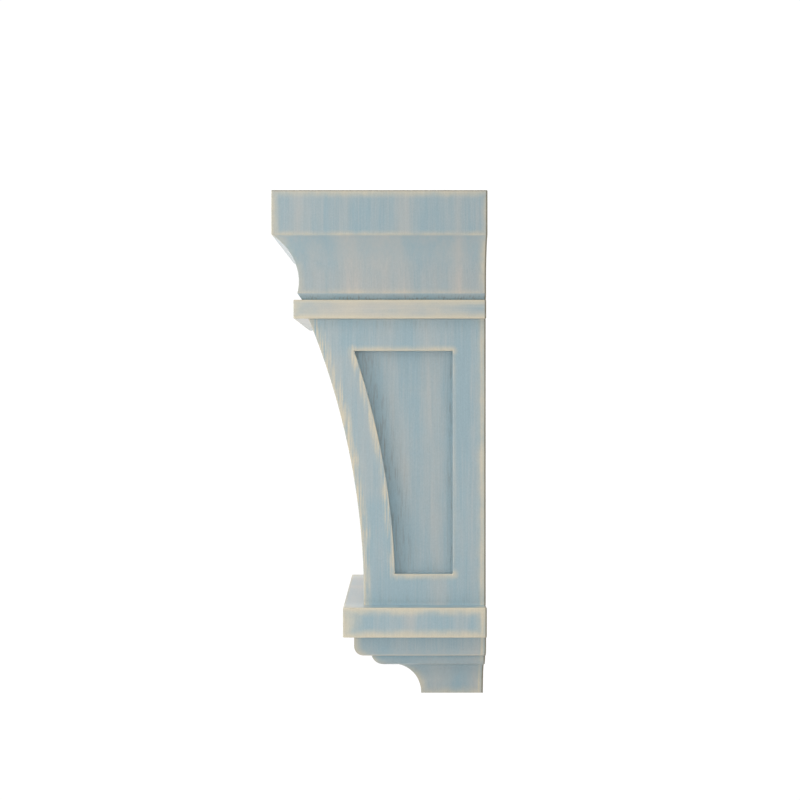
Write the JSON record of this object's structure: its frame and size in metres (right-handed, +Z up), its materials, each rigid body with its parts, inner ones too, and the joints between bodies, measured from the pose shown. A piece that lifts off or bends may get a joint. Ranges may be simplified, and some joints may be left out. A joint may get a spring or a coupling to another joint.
{
  "type": "wooden corbel",
  "caption": "Tall wooden wall corbel with a moulded crown, a curved bracket with sunk side panels, a base block and a moulded foot, in worn blue paint.",
  "frame": {"origin": "middle of the back that lies on the wall, at half the corbel's height", "axes": "+Z up; +Y into the wall, so the corbel stands out towards -Y; X across its width"},
  "size_m": [0.1778, 0.1905, 0.4572],
  "materials": {
    "crown_paint": "worn matt blue paint over pale wood",
    "plate_paint": "matt blue paint worn to pale wood",
    "bracket_paint": "worn matt blue paint over pale wood",
    "base_block_paint": "matt blue paint with rubbed pale edges",
    "foot_paint": "worn matt blue paint over pale wood"
  },
  "bodies": {
    "root": {"crown": "crown_paint", "plate": "plate_paint", "bracket": "bracket_paint", "base_block": "base_block_paint", "foot": "foot_paint"}
  },
  "joints": []
}
